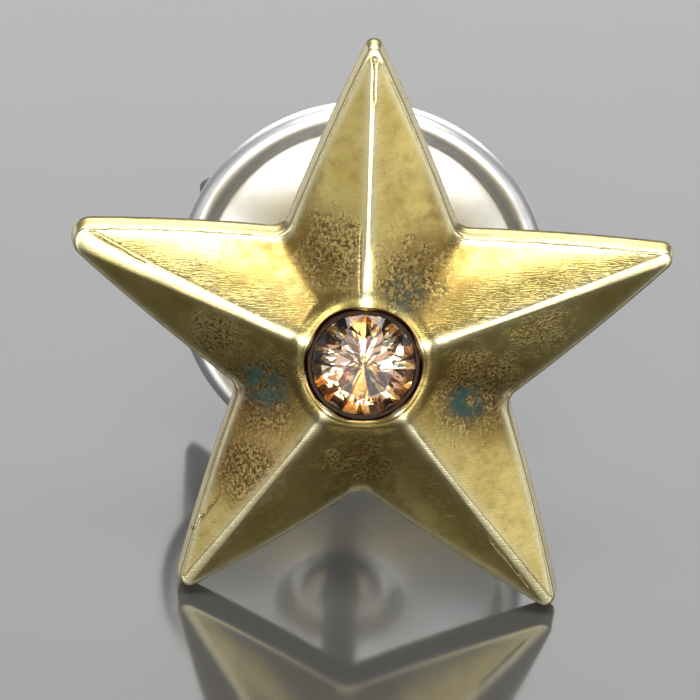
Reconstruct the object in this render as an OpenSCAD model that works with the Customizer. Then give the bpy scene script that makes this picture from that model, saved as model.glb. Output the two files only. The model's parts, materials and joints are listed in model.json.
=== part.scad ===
// Star lapel pin: a cast brass five-pointed star with a glass stone set at its apex,
// a tack post soldered on the back, and a butterfly clutch pushed on to the post.
// It stands as it rests on a table: on its two lower tips and on the rim of the clutch.
// The pin's own frame, in which every piece is drawn, has +Z out of the star's face,
// +Y up the top arm, and Z = 0 on the flat back. Arms and notches are listed
// counter-clockwise from the top arm as the face is seen.

/* [Star] */
// Radius of each arm's sharp corner, before its tip is rounded
arm_r = [9.8, 10.6, 9.9, 10.55, 10.35]; // [9.6:0.05:10.8]
// How far each arm is turned from an even spacing, in degrees
arm_turn = [-0.2, -2.4, 1, 1.1, 0.9]; // [-3:0.1:3]
// Rounding of each arm's tip
tip_round = [0.3, 0.6, 0.4, 0.4, 0.4]; // [0.25:0.05:0.7]
// Radius of the notch that follows each arm
notch_r = [4.35, 4, 4.4, 4.65, 4.6]; // [3.9:0.05:4.8]
// How far each notch is turned from an even spacing, in degrees
notch_turn = [-1.1, 1.2, 0.6, -0.5, -1]; // [-3:0.1:3]
// Rounding inside each notch
notch_round = 0.5; // [0.3:0.1:0.9]
// How far each edge bows outward between its tip and its notch
edge_bow = 0.06; // [0:0.02:0.12]
// Height of the side wall above the back
wall_h = 0.9; // [0.7:0.05:1.1]
// How far the side wall leans in over its height
wall_draft = 0.1; // [0.04:0.02:0.16]
// Rounding between the side wall and the facets
edge_round = 0.1; // [0.05:0.01:0.14]
// Height at which the facets would meet over the centre
apex_h = 3.3; // [3.1:0.1:3.5]

/* [Stone] */
// Diameter of the stone across its girdle
stone_d = 3.1; // [2.9:0.05:3.2]
// Width of the gap between the stone and the wall of its seat
seat_gap = 0.11; // [0.05:0.01:0.15]
// Height of the burnished lip around the stone, where the ridges meet it
lip_h = 2.86; // [2.8:0.02:2.96]
// Outer radius of the lip
lip_r = 1.86; // [1.8:0.02:1.95]
// How level the lip is: at 0 it follows the facets down toward the notches
lip_level = 0.6; // [0.5:0.1:1]
// How far the girdle lies below the lip's highest points
girdle_below = 0.2; // [0.15:0.01:0.25]
// Height of the crown, from the girdle to the table
crown_h = 0.42; // [0.35:0.01:0.5]
// Diameter of the table
table_d = 1.85; // [1.7:0.05:2]
// Depth of the pavilion, from the girdle to the culet
pavilion_h = 1.3; // [1.2:0.02:1.35]
// Thickness of the foil behind the pavilion
foil_t = 0.06; // [0.05:0.01:0.08]

/* [Post] */
// Radius of the tack post
post_r = 0.55; // [0.5:0.01:0.6]
// Distance from the star's back to the point of the post
post_len = 9.8; // [9.2:0.1:10.5]
// Distance from the point to the groove that the clutch's jaws snap into
groove_back = 1.2; // [1:0.1:1.5]
// Radius of the pad that the post is fixed in
pad_r = 2.5; // [2.2:0.1:2.6]
// Thickness of the pad
pad_t = 0.4; // [0.35:0.05:0.5]

/* [Clutch] */
// Outer radius of the clutch
clutch_r = 5.75; // [5.6:0.05:5.9]
// Radius of the bead rolled round the clutch's rim
bead_r = 0.44; // [0.4:0.01:0.46]
// Depth of the well that the eyelet sits in, in the middle of the clutch's front
well_depth = 0.3; // [0.26:0.02:0.32]
// How far the domed front falls back between its crest and the bead
dome_fall = 0.34; // [0.28:0.02:0.36]
// Thickness of the sheet that the shells are pressed from
sheet_t = 0.25; // [0.22:0.01:0.28]
// Outer radius of the housing
housing_r = 3.1; // [3:0.05:3.2]
// Height of the housing's top above the clutch's front
housing_h = 3.95; // [3.9:0.05:4.1]
// Thickness of the spring's leaves
leaf_t = 0.28; // [0.24:0.01:0.3]
// Width of the leaves where they pass through the housing
leaf_w = 2.5; // [2.3:0.1:2.6]
// Width across the finger ears
ear_w = 4.6; // [4:0.1:5]

/* [Hidden] */

brass = "#b5973f";
silver = "#c9cbcc";
fit_gap = 0.05;      // running clearance of the clutch on the post
arms = 5;
step = 360 / arms;
corner_steps = 6;    // straight pieces in each rounded corner
bow_steps = 4;       // straight pieces along each bowed edge

// ---- Star outline -------------------------------------------------------------

function polar(r, a) = [r * cos(a), r * sin(a)];
function unit(v) = v / norm(v);
function rot90(v) = [-v[1], v[0]];
function turned(v, a) = [v[0] * cos(a) - v[1] * sin(a), v[0] * sin(a) + v[1] * cos(a)];

// Ten sharp corners, tip and notch in turn
corners = [
    for (i = [0 : arms - 1])
        for (part = [0, 1])
            part == 0
                ? polar(arm_r[i], 90 + step * i + arm_turn[i])
                : polar(notch_r[i], 90 + step * (i + 0.5) + notch_turn[i])
];
corner_count = len(corners);

function corner(i) = corners[(i + corner_count) % corner_count];
function is_tip(i) = i % 2 == 0;
// Inset by d, a tip's rounding shrinks and a notch's grows
function corner_round(i, d) = is_tip(i) ? tip_round[i / 2] - d : notch_round + d;
// +1 at a tip, where the outline turns left, and -1 at a notch
function bend(i) = is_tip(i) ? 1 : -1;
function along(i) = unit(corner(i + 1) - corner(i));
function half_angle(i) = acos(-along(i) * along((i + corner_count - 1) % corner_count)) / 2;
// The rounding's centre is the same for every inset
function arc_centre(i) =
    let (inward = unit(along(i) - along((i + corner_count - 1) % corner_count)))
    corner(i) + inward * corner_round(i, 0) / sin(half_angle(i));
function arc_start(i, d) =
    arc_centre(i) - rot90(along((i + corner_count - 1) % corner_count)) * corner_round(i, d) * bend(i);
function arc_point(i, d, k) =
    arc_centre(i)
    + turned(arc_start(i, d) - arc_centre(i), bend(i) * (180 - 2 * half_angle(i)) * k / corner_steps);

// The outline inset by d, with each edge bowed outward
function outline(d) = [
    for (i = [0 : corner_count - 1])
        each concat(
            [for (k = [0 : corner_steps]) arc_point(i, d, k)],
            [
                for (k = [1 : bow_steps - 1])
                    let (
                        t = k / bow_steps,
                        from = arc_point(i, d, corner_steps),
                        to = arc_start((i + 1) % corner_count, d)
                    )
                    from * (1 - t) + to * t - rot90(along(i)) * edge_bow * 4 * t * (1 - t)
            ]
        )
];

// ---- Star surface -------------------------------------------------------------

facet_foot = outline(wall_draft + edge_round);
boss_r = 2.3;            // where the facets start to rise to the lip
lip_flat = 0.1;          // width of the lip's flat top
facet_steps = [1, 0.75, 0.5, 0.25, 0];
lip_steps = [[boss_r - 0.25, 0.35], [lip_r, 0.85], [lip_r - lip_flat, 1]];

function lifted(points, z) = [for (p = points) [p[0], p[1], z]];
function facet_z(r, foot_r) = wall_h + (apex_h - wall_h) * (1 - r / foot_r);
// A ring of the facets: u = 1 at the edge, 0 where the boss starts
function facet_ring(u) = [
    for (p = facet_foot)
        let (foot_r = norm(p), r = boss_r + (foot_r - boss_r) * u)
        [p[0] * r / foot_r, p[1] * r / foot_r, facet_z(r, foot_r)]
];
function lip_z(foot_r) =
    let (z = facet_z(lip_r, foot_r))
    z + (lip_h - z) * lip_level;
// A round ring of the boss: rise = 0 on the facets, 1 at the lip
function lip_ring(r, rise) = [
    for (p = facet_foot)
        let (foot_r = norm(p), z = facet_z(boss_r, foot_r))
        [p[0] * r / foot_r, p[1] * r / foot_r, z + (lip_z(foot_r) - z) * rise]
];

rings = concat(
    [
        lifted(outline(0), 0),
        lifted(outline(wall_draft), wall_h - edge_round),
        lifted(outline(wall_draft + 0.3 * edge_round), wall_h - 0.3 * edge_round)
    ],
    [for (u = facet_steps) facet_ring(u)],
    [for (s = lip_steps) lip_ring(s[0], s[1])]
);
ring_size = len(facet_foot);
last_ring = ring_size * (len(rings) - 1);

module star_solid() {
    points = concat([for (ring = rings) each ring], [[0, 0, 0], [0, 0, lip_h]]);
    back_centre = len(points) - 2;
    top_centre = len(points) - 1;
    sides = [
        for (r = [0 : len(rings) - 2])
            for (i = [0 : ring_size - 1])
                let (
                    a = r * ring_size + i,
                    b = r * ring_size + (i + 1) % ring_size
                )
                each [[a, a + ring_size, b], [b, a + ring_size, b + ring_size]]
    ];
    back = [for (i = [0 : ring_size - 1]) [back_centre, i, (i + 1) % ring_size]];
    top = [
        for (i = [0 : ring_size - 1])
            [top_centre, last_ring + (i + 1) % ring_size, last_ring + i]
    ];
    polyhedron(points, concat(back, sides, top));
}

// ---- How the pin stands -------------------------------------------------------

// The clutch sits where its jaws are at the groove of the post
jaw = [0.1, 1.7];               // end of a jaw, as [x, z] in the clutch's own frame
groove_z = post_len - groove_back;
clutch_gap = groove_z - jaw[1];

// Both lower tips touch the table, so the pin is turned until they are level
left_foot = 4;
right_foot = 6;
foot_line = arc_centre(right_foot) - arc_centre(left_foot);
level_turn = -atan2(foot_line[1], foot_line[0]);
foot_y = turned(arc_centre(left_foot), level_turn)[1] - tip_round[left_foot / 2];

// The pin leans back until the bead of the clutch touches the table too
bead_y = clutch_r - bead_r;
bead_z = clutch_gap + bead_r;
reach_y = -foot_y - bead_y;
lean = atan2(reach_y, bead_z) - asin(bead_r / norm([reach_y, bead_z]));

function stood(p) =
    let (q = turned([p[0], p[1]], level_turn))
    [q[0], q[1] * sin(lean) - p[2] * cos(lean), q[1] * cos(lean) + p[2] * sin(lean)];

module standing() {
    translate(-origin)
        rotate([90 - lean, 0, 0])
            children();
}

// Pieces of the star turn with it, and pieces of the clutch stay level
module on_star() {
    standing() rotate([0, 0, level_turn]) children();
}

// The clutch's own frame has +Z away from the star and Z = 0 at its front
module on_clutch() {
    standing()
        translate([0, 0, -clutch_gap])
            rotate([180, 0, 0])
                children();
}

module turned_piece(profile) {
    rotate_extrude($fn = 96) polygon(profile);
}

// ---- Star pieces --------------------------------------------------------------

seat_r = stone_d / 2 + seat_gap;
girdle_z = lip_h - girdle_below;
girdle_t = 0.1;
girdle_low = girdle_z - girdle_t;
culet_r = 0.12;
culet_z = girdle_low - pavilion_h;
stone_r = stone_d / 2;
slope = pavilion_h / (stone_r - culet_r);   // of the pavilion
foil_r = stone_r - 0.05;
foil_z = girdle_low - (stone_r - foil_r) * slope;
foil_drop = foil_t / cos(atan(slope));      // the foil's thickness measured along Z
seat_bottom = culet_z - foil_drop - 0.12;
seat_bottom_r = 0.45;
seat_step = girdle_low - 0.18;              // where the seat's cone meets its wall
seat_step_r = seat_r - 0.16;
pad_recess = 0.15;
solder_w = 0.25;

module star_body() {
    color(brass)
        on_star()
            difference() {
                star_solid();
                turned_piece([
                    [0, seat_bottom], [seat_bottom_r, seat_bottom], [seat_step_r, seat_step],
                    [seat_r, seat_step], [seat_r, apex_h], [0, apex_h]
                ]);
                translate([0, 0, -1])
                    cylinder(r = pad_r + solder_w, h = 1 + pad_recess, $fn = 96);
            }
}

module chaton_stone() {
    color("#e8c9a0")
        on_star()
            turned_piece([
                [0, culet_z], [culet_r, culet_z], [stone_r, girdle_low], [stone_r, girdle_z],
                [table_d / 2, girdle_z + crown_h], [0, girdle_z + crown_h]
            ]);
}

module stone_foil() {
    color("#d9b26a")
        on_star()
            turned_piece([
                [0, culet_z], [culet_r, culet_z], [foil_r, foil_z],
                [foil_r, foil_z - foil_drop], [culet_r, culet_z - foil_drop],
                [0, culet_z - foil_drop]
            ]);
}

module stone_cement() {
    color("#3a2418")
        on_star()
            turned_piece([
                [0, seat_bottom], [seat_bottom_r, seat_bottom], [seat_step_r, seat_step],
                [seat_r, seat_step], [seat_r, girdle_low], [stone_r, girdle_low],
                [foil_r, foil_z], [foil_r, foil_z - foil_drop],
                [culet_r, culet_z - foil_drop], [0, culet_z - foil_drop]
            ]);
}

// ---- Post pieces --------------------------------------------------------------

pad_back = pad_recess - pad_t;
braze = 0.28;                   // size of the fillet round the foot of the shank
groove_w = 0.5;
point_r = 0.12;                 // radius of the post's blunt point
groove_r = post_r - 0.12;
point_start = post_len - 0.65;  // where the shank starts to taper
fillet_steps = 5;

// A concave quarter fillet of size s in the corner at [r, z], opening toward [+r, dir * z]
function fillet(r, z, s, dir) = concat(
    [[r, z]],
    [
        for (k = [0 : fillet_steps])
            let (a = 90 * k / fillet_steps)
            [r + s - s * sin(a), z + dir * (s - s * cos(a))]
    ]
);

module post_pad() {
    edge = 0.1;
    color(silver)
        on_star()
            turned_piece([
                [post_r, pad_back], [pad_r - edge, pad_back], [pad_r, pad_back + edge],
                [pad_r, pad_recess], [post_r, pad_recess]
            ]);
}

module tack_post() {
    color(silver)
        on_star()
            turned_piece([
                [0, pad_recess], [post_r, pad_recess],
                [post_r, -(groove_z - groove_w / 2)],
                [groove_r, -(groove_z - groove_w / 4)],
                [groove_r, -(groove_z + groove_w / 4)],
                [post_r, -(groove_z + groove_w / 2)],
                [post_r, -point_start],
                [point_r, -post_len], [0, -post_len]
            ]);
}

module pad_solder() {
    rim = pad_r + solder_w;
    color("#a9a7a0")
        on_star()
            turned_piece([
                [pad_r, pad_recess], [rim, pad_recess], [rim, 0.02],
                [pad_r + solder_w / 2, -0.03], [pad_r, -0.12]
            ]);
}

module shank_braze() {
    color("#a9a7a0")
        on_star()
            turned_piece(fillet(post_r, pad_back, braze, -1));
}

// ---- Clutch pieces ------------------------------------------------------------

hole_r = post_r + fit_gap;      // bore of the eyelet
eyelet_r = 0.82;                // outside of the eyelet's tube
eyelet_flange_r = 1.25;
eyelet_flange_t = 0.14;
play = 0.04;                    // axial play of the eyelet in the face plate
plate_hole_r = eyelet_r + fit_gap;
skirt_r = bead_y - bead_r;      // where the domed face meets the bead
eyelet_top = well_depth + sheet_t + play + eyelet_flange_t;

module clutch_eyelet() {
    low = well_depth - play - eyelet_flange_t;
    color(silver)
        on_clutch()
            turned_piece([
                [hole_r, low], [eyelet_flange_r, low], [eyelet_flange_r, well_depth - play],
                [eyelet_r, well_depth - play], [eyelet_r, eyelet_top - eyelet_flange_t],
                [eyelet_r + 0.2, eyelet_top - eyelet_flange_t], [eyelet_r + 0.2, eyelet_top],
                [hole_r, eyelet_top]
            ]);
}

bead_steps = 20;
function bead_arc(r, from, to) = [
    for (k = [0 : bead_steps])
        [bead_y, bead_r] + polar(r, from + (to - from) * k / bead_steps)
];

// A shallow dome with a well in its middle, whose edge is curled back over the
// housing's flange
module clutch_face_plate() {
    well_r = 1.5;
    crest = [2.1, 0.03];
    dome_steps = 6;
    wall = sheet_t * 0.8;
    back = well_depth + sheet_t;
    dome = [
        for (k = [0 : dome_steps])
            let (t = k / dome_steps)
            [crest[0] + (skirt_r - 0.1 - crest[0]) * t, crest[1] + dome_fall * t * t]
    ];
    color(silver)
        on_clutch()
            turned_piece(concat(
                [[plate_hole_r, well_depth], [well_r, well_depth]],
                dome,
                bead_arc(bead_r, 188, 450),
                [[bead_y - 0.02, 2 * bead_r - sheet_t], [bead_y - 0.02, back]],
                [
                    for (k = [dome_steps : -1 : 0])
                        [dome[k][0], min(dome[k][1] + wall, back)]
                ],
                [[well_r + wall, back], [plate_hole_r, back]]
            ));
}

flange_z = well_depth + sheet_t;            // the housing's flange lies on the face plate
flange_r = bead_y - 0.06;
housing_in = housing_r - sheet_t;
ceiling = housing_h - sheet_t;              // inside of the housing's top
top_hole_r = 0.95;
slot_w = leaf_w + 0.6;
slot_low = 2.15;
slot_high = 3.25;

module clutch_housing() {
    round_r = 0.35;
    color(silver)
        on_clutch()
            difference() {
                turned_piece([
                    [housing_in, flange_z], [flange_r, flange_z], [flange_r, flange_z + 0.06],
                    [housing_r + 0.3, flange_z + sheet_t], [housing_r, flange_z + sheet_t + 0.3],
                    [housing_r, housing_h - round_r],
                    [housing_r - 0.3 * round_r, housing_h - 0.3 * round_r],
                    [housing_r - round_r, housing_h],
                    [top_hole_r, housing_h], [top_hole_r, ceiling],
                    [housing_in, ceiling]
                ]);
                for (side = [0, 180])
                    rotate([0, 0, side])
                        translate([housing_in / 2, -slot_w / 2, slot_low])
                            cube([housing_r, slot_w, slot_high - slot_low]);
            }
}

pivot = [2.35, 2.6];                        // hinge line of a leaf, as [x, z]
knee = [3.5, 2.68];                         // where the ear bends back
ear_tip = [5.1, 4.35];
roll_r = 0.2;                               // the round bend at a leaf's hinge line
bridge_half = pivot[0] + 0.08;

module along_hinge(r, length) {
    translate([pivot[0], 0, pivot[1]])
        rotate([90, 0, 0])
            cylinder(r = r, h = length, center = true, $fn = 48);
}

// The fixed middle of the spring: a strip under the housing's top, with its two ends
// turned down over the leaves' rolls
module spring_bridge() {
    room = bridge_half - leaf_t;
    color(silver)
        on_clutch()
            difference() {
                translate([-bridge_half, -leaf_w / 2, pivot[1]])
                    cube([2 * bridge_half, leaf_w, ceiling - pivot[1]]);
                translate([-room, -leaf_w, 0])
                    cube([2 * room, 2 * leaf_w, ceiling - leaf_t]);
                cylinder(r = top_hole_r, h = housing_h, $fn = 64);
                for (side = [0, 180])
                    rotate([0, 0, side])
                        along_hinge(roll_r + fit_gap, 2 * leaf_w);
            }
}

// Middle line of a leaf as [x, z], from the jaw to the ear's tip, with a soft bend at the knee
knee_steps = 4;
knee_soft = 0.35;
function knee_point(t) =
    let (before = knee - unit(knee - pivot) * knee_soft, after = knee + unit(ear_tip - knee) * knee_soft)
    before * (1 - t) * (1 - t) + knee * 2 * t * (1 - t) + after * t * t;
leaf_line = concat(
    [jaw, pivot],
    [for (k = [0 : knee_steps]) knee_point(k / knee_steps)],
    [ear_tip]
);
function leaf_side(i, side) =
    let (
        last = len(leaf_line) - 1,
        ahead = unit(leaf_line[min(i + 1, last)] - leaf_line[max(i - 1, 0)])
    )
    leaf_line[i] + rot90(ahead) * side * leaf_t / 2;

// Plan of a leaf: a straight neck that flares into an ear with round corners
neck_end = 3.75;
flare = 0.45;
ear_corner = 0.9;
ear_end = ear_tip[0] + leaf_t;
// Half of the leaf's width at each x
leaf_half = concat(
    [
        [jaw[0] - 1, leaf_w / 2], [neck_end, leaf_w / 2], [neck_end + flare / 3, ear_w / 2 - 0.3],
        [neck_end + flare, ear_w / 2]
    ],
    [
        for (k = [0 : corner_steps])
            [ear_end - ear_corner, ear_w / 2 - ear_corner] + polar(ear_corner, 90 - 90 * k / corner_steps)
    ]
);
module leaf_plan() {
    last = len(leaf_half) - 1;
    polygon(concat(leaf_half, [for (i = [last : -1 : 0]) [leaf_half[i][0], -leaf_half[i][1]]]));
}

module wing() {
    last = len(leaf_line) - 1;
    difference() {
        union() {
            intersection() {
                translate([0, ear_w, 0])
                    rotate([90, 0, 0])
                        linear_extrude(2 * ear_w)
                            polygon(concat(
                                [for (i = [0 : last]) leaf_side(i, 1)],
                                [for (i = [last : -1 : 0]) leaf_side(i, -1)]
                            ));
                linear_extrude(2 * housing_h) leaf_plan();
            }
            along_hinge(roll_r, leaf_w);
        }
        cylinder(r = hole_r, h = housing_h, $fn = 64);
    }
}

module wing_right() {
    color(silver) on_clutch() wing();
}

module wing_left() {
    color(silver) on_clutch() rotate([0, 0, 180]) wing();
}

// ---- Origin -------------------------------------------------------------------

// Centre of the whole pin's box, at its bottom. The star reaches furthest to the left,
// right and bottom, the star or the lower edge of the stone's table reaches furthest to
// the front, and the upper corner of an ear reaches furthest back.
star_points = [for (ring = rings) for (p = ring) stood(p)];
ear_edge = leaf_side(len(leaf_line) - 1, 1);
back_y = (clutch_gap + ear_edge[1]) * cos(lean) + lookup(ear_edge[0], leaf_half) * sin(lean);
left_x = min([for (p = star_points) p[0]]);
right_x = max([for (p = star_points) p[0]]);
table_front = -(girdle_z + crown_h) * cos(lean) - table_d / 2 * sin(lean);
front_y = min(table_front, min([for (p = star_points) p[1]]));
floor_z = min([for (p = star_points) p[2]]);
origin = [(left_x + right_x) / 2, (front_y + back_y) / 2, floor_z];

star_body();
chaton_stone();
stone_foil();
stone_cement();
post_pad();
tack_post();
pad_solder();
shank_braze();
clutch_eyelet();
clutch_face_plate();
clutch_housing();
spring_bridge();
wing_left();
wing_right();
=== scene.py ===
"""Star lapel pin: the visual model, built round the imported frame.

The pin's own frame has X to the right, Y up the top arm and Z out of the face, with
Z = 0 on the flat back. Lengths are in millimetres until a mesh is made.
"""

import json
import math

import bmesh
import bpy
import numpy as np
from mathutils import Matrix, Vector, noise


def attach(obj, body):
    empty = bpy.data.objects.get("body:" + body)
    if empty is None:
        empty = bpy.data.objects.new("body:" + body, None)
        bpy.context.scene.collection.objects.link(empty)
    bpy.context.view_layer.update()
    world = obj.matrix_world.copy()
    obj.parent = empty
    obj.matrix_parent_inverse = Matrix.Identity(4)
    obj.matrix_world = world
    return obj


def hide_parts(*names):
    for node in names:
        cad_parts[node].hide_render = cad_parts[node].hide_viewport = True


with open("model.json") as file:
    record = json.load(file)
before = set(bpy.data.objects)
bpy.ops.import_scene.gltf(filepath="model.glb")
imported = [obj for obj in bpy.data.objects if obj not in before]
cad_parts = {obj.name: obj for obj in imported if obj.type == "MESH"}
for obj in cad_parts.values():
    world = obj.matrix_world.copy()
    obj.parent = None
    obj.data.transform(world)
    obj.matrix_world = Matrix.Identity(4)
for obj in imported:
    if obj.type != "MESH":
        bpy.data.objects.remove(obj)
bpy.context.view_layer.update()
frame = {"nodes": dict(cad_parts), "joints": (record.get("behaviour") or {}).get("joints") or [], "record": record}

MM = 0.001

# ---- Frames ---------------------------------------------------------------------

joints = {joint["name"]: joint for joint in frame["joints"]}
AWAY = Vector(joints["clutch_slide"]["axis"])
ROOT = Vector(joints["clutch_spin"]["pos_m"])
UP = Vector(joints["right_ear_squeeze"]["axis"])
RIGHT = UP.cross(-AWAY)
LEVEL_TURN = math.radians(1.697)    # turn of the star that levels its two lower tips

PIN = Matrix.Translation(ROOT) @ Matrix((RIGHT, UP, -AWAY)).transposed().to_4x4()
STAR = PIN @ Matrix.Rotation(LEVEL_TURN, 4, "Z")


def local_points(node, matrix):
    """A CAD node's vertices in that frame, in millimetres."""
    inverse = matrix.inverted()
    return np.array([inverse @ v.co for v in frame["nodes"][node].data.vertices]) / MM


CLUTCH_GAP = -local_points("clutch_face_plate", PIN)[:, 2].max()
CLUTCH = PIN @ Matrix.Translation((0, 0, -CLUTCH_GAP * MM)) @ Matrix.Rotation(math.pi, 4, "X")

# ---- Sizes, as in part.scad -----------------------------------------------------

WALL_H = 0.9
WALL_DRAFT = 0.1
EDGE_ROUND = 0.1
APEX_H = 3.3
BOSS_R = 2.3
LIP_H = 2.86
LIP_R = 1.86

STONE_R = 1.55
SEAT_R = 1.66
SEAT_FLOOR_R = 0.45
GIRDLE_Z = 2.66
GIRDLE_T = 0.1
GIRDLE_LOW = GIRDLE_Z - GIRDLE_T
CROWN_H = 0.42
TABLE_R = 0.925
PAVILION_H = 1.3
CULET_R = 0.12
CULET_Z = GIRDLE_LOW - PAVILION_H
FOIL_T = 0.06

PAD_R = 2.5
PAD_T = 0.4
PAD_RECESS = 0.15
SOLDER_W = 0.25
BRAZE = 0.28            # size of the fillet round the foot of the shank
POST_R = 0.55
POST_LEN = 9.8
POINT_R = 0.12
POINT_LEN = 0.65
GROOVE_Z = 8.6
GROOVE_W = 0.5
GROOVE_DEPTH = 0.12

SHEET_T = 0.25
BEAD_R = 0.44
BEAD_Y = 5.31
WELL_DEPTH = 0.3
WELL_R = 1.5
CREST_R = 2.1
CREST_Z = 0.03
DOME_FALL = 0.34
HOUSING_R = 3.1
HOUSING_H = 3.95
FLANGE_R = BEAD_Y - 0.06
TOP_HOLE_R = 0.95
SLOT_W = 3.1
SLOT_LOW = 2.15
SLOT_HIGH = 3.25
EYELET_BORE = 0.6
EYELET_R = 0.82
EYELET_FLANGE_R = 1.25
EYELET_FLANGE_T = 0.14
EYELET_CURL_R = EYELET_R + 0.2
EYELET_PLAY = 0.04      # axial play of the eyelet in the face plate

# ---- Sizes of the visual model alone --------------------------------------------

ON_AXIS = 1e-6          # a radius below this counts as on the axis
LIP_LEVEL = 0.25        # lower than the CAD lip's 0.6, since its edge is worn
LIP_UNEVEN = 0.012      # how much the lip wanders, in height and in radius
BACK_ROUND = 0.05       # rounding between the star's back and its wall
RIDGE_SOFT = 0.20       # width of the bell that rounds the ridges
VALLEY_SOFT = 0.30      # and of the one that fills the valleys
RIDGE_REACH = 0.5       # how far from a ridge its softness goes over to the valleys'
CROWNING = 0.16         # how far the facets swell above flat, away from ridge and edge
CROWNING_REACH = 1.2    # how far from a ridge that swell comes in
SWELL_REACH = 1.0       # how far from the star's edge it comes in
SETTLE_REACH = 0.5      # how far from the star's edge the softness does
CRACK_DEPTH = 0.022
PIT_DEPTH = 0.04
FACE_STEPS = 46         # rings from the star's edge to the boss
BOSS_STEPS = 8          # and from there to the lip
STONE_FOLD = 8
STAR_FACET_R = 1.27     # where the points of the crown's star facets are
LOWER_FACET_R = 0.5     # where the points of the pavilion's lower facets are
FOIL_GAP = 0.012        # between the stone and its foil
FOIL_SHORT = 0.06       # how far inside the girdle the foil ends

# ---- Material graphs ------------------------------------------------------------


class Graph:
    """A material's node tree, with short calls for the nodes used here."""

    def __init__(self, name, matrix=STAR):
        self.material = bpy.data.materials.new(name)
        self.material.use_nodes = True
        self.tree = self.material.node_tree
        self.shader = self.tree.nodes["Principled BSDF"]
        coords = self.tree.nodes.new("ShaderNodeTexCoord")
        offset = self.vector("SUBTRACT", coords.outputs["Object"], tuple(matrix.translation))
        combine = self.tree.nodes.new("ShaderNodeCombineXYZ")
        for axis, socket in zip(matrix.to_3x3().col, combine.inputs):
            self.link(self.vector("DOT_PRODUCT", offset, tuple(axis / MM)), socket)
        # millimetres in the frame of that matrix
        self.mm = combine.outputs["Vector"]

    def link(self, value, socket):
        """Wires a socket, or writes a constant."""
        if isinstance(value, bpy.types.NodeSocket):
            self.tree.links.new(value, socket)
        else:
            socket.default_value = value

    def vector(self, operation, a, b=None):
        node = self.tree.nodes.new("ShaderNodeVectorMath")
        node.operation = operation
        self.link(a, node.inputs[0])
        if b is not None:
            self.link(b, node.inputs[1])
        value_out = operation in ("LENGTH", "DISTANCE", "DOT_PRODUCT")
        return node.outputs["Value" if value_out else "Vector"]

    def math(self, operation, a, b=0.0, clamp=False):
        node = self.tree.nodes.new("ShaderNodeMath")
        node.operation = operation
        node.use_clamp = clamp
        self.link(a, node.inputs[0])
        self.link(b, node.inputs[1])
        return node.outputs[0]

    def times(self, a, b):
        return self.math("MULTIPLY", a, b)

    def flat(self):
        """The place in the plane of the face, in millimetres, with Z left out."""
        return self.vector("MULTIPLY", self.mm, (1.0, 1.0, 0.0))

    def noise(self, scale, detail=4.0, roughness=0.5, stretch=None, turn=0.0, where=None):
        """Noise over millimetres: scale is in features per millimetre."""
        where = where or self.mm
        if stretch is not None:
            mapping = self.tree.nodes.new("ShaderNodeMapping")
            mapping.inputs["Rotation"].default_value = (0, 0, turn)
            mapping.inputs["Scale"].default_value = stretch
            self.link(where, mapping.inputs["Vector"])
            where = mapping.outputs["Vector"]
        node = self.tree.nodes.new("ShaderNodeTexNoise")
        self.link(where, node.inputs["Vector"])
        node.inputs["Scale"].default_value = scale
        node.inputs["Detail"].default_value = detail
        node.inputs["Roughness"].default_value = roughness
        return node.outputs["Fac"]

    def span(self, value, low, high, to_low=0.0, to_high=1.0):
        """Maps low..high smoothly to to_low..to_high."""
        node = self.tree.nodes.new("ShaderNodeMapRange")
        node.interpolation_type = "SMOOTHSTEP"
        self.link(value, node.inputs["Value"])
        for socket, number in zip(("From Min", "From Max", "To Min", "To Max"),
                                  (low, high, to_low, to_high)):
            self.link(number, node.inputs[socket])
        return node.outputs["Result"]

    def mix(self, factor, a, b):
        node = self.tree.nodes.new("ShaderNodeMix")
        node.data_type = "RGBA"
        self.link(factor, node.inputs["Factor"])
        for value, socket in ((a, node.inputs["A"]), (b, node.inputs["B"])):
            colour = value if isinstance(value, bpy.types.NodeSocket) else (*value, 1.0)
            self.link(colour, socket)
        return node.outputs["Result"]

    def spot(self, x, y, radius, ragged=0.0, grain=None):
        """1 inside a round patch of the face, fading to 0, with an optionally ragged edge."""
        distance = self.vector("DISTANCE", self.flat(), (x, y, 0.0))
        if grain is not None:
            push = self.times(self.math("SUBTRACT", grain, 0.5), ragged)
            distance = self.math("ADD", distance, push)
        return self.span(distance, radius, 0.35 * radius)

    def any_of(self, *masks):
        """The strongest of the masks at each place."""
        total = masks[0]
        for mask in masks[1:]:
            total = self.math("MAXIMUM", total, mask)
        return total

    def line(self, start, end, width):
        """1 along a segment of the face, fading to 0 at width from it."""
        ax, ay = start
        dx, dy = end[0] - ax, end[1] - ay
        length = math.hypot(dx, dy)
        offset = self.vector("SUBTRACT", self.flat(), (ax, ay, 0.0))
        along = self.vector("DOT_PRODUCT", offset, (dx / length, dy / length, 0.0))
        across = self.vector("DOT_PRODUCT", offset, (-dy / length, dx / length, 0.0))
        wander = self.times(self.math("SUBTRACT", self.noise(2.5), 0.5), 0.12)
        across = self.math("ABSOLUTE", self.math("ADD", across, wander))
        fade = 0.12 * length
        inside = self.times(
            self.span(along, 0.0, fade), self.span(along, length, length - fade)
        )
        return self.times(self.span(across, width, 0.3 * width), inside)

    def attribute(self, name):
        """A mask that the mesh carries."""
        node = self.tree.nodes.new("ShaderNodeAttribute")
        node.attribute_name = name
        return node.outputs["Fac"]

    def bump(self, height, distance, strength=1.0, normal=None):
        """Bump that rises by distance, in millimetres, where height is 1."""
        node = self.tree.nodes.new("ShaderNodeBump")
        node.inputs["Distance"].default_value = distance * MM
        node.inputs["Strength"].default_value = strength
        self.link(height, node.inputs["Height"])
        if normal is not None:
            self.link(normal, node.inputs["Normal"])
        return node.outputs["Normal"]

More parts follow.
